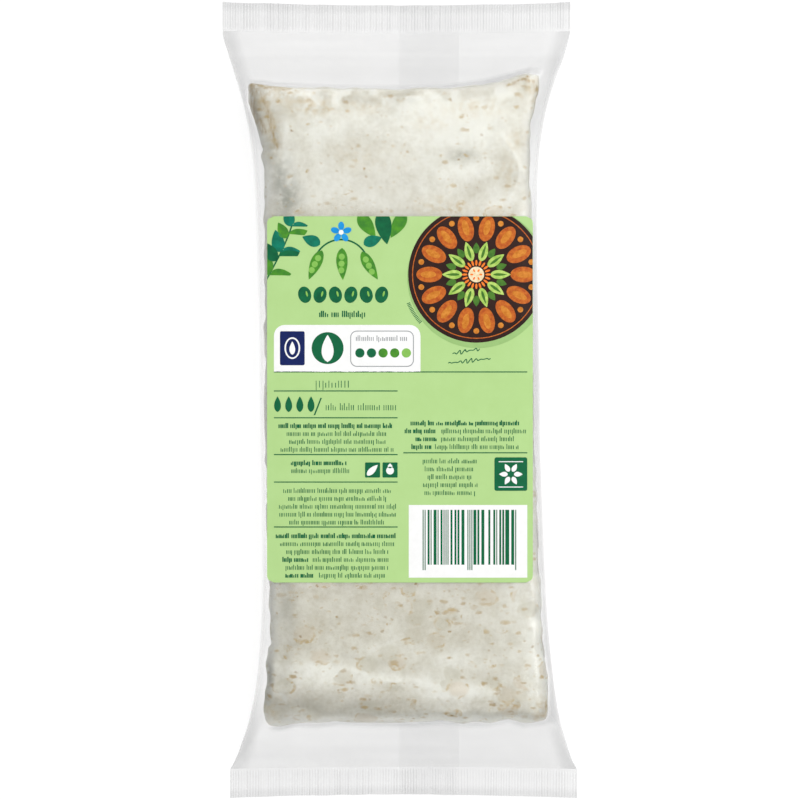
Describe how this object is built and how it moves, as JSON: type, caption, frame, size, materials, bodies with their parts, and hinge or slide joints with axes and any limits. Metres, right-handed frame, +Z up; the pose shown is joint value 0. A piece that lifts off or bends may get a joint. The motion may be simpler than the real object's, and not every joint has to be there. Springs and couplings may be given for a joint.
{
  "type": "tempeh cake",
  "caption": "A flat block of tempeh sealed in a clear flow-wrap bag with crimped end seals, with a light green label stuck across its face.",
  "frame": {"origin": "on the resting surface, under the middle of the pack", "axes": "+X to the pack's right as its label is read, +Y to the top seal, +Z up, out of the label"},
  "size_m": [0.1179, 0.2656, 0.0225],
  "materials": {
    "film": "clear smooth film, seen over the cream cake that fills the bag",
    "label_paper": "satin printed paper, light green",
    "tempeh": "matt, soft mould-covered food surface",
    "label_print": "satin printing inks, mainly dark green"
  },
  "bodies": {
    "root": {"film_pack": "film", "label": "label_paper"}
  },
  "joints": []
}
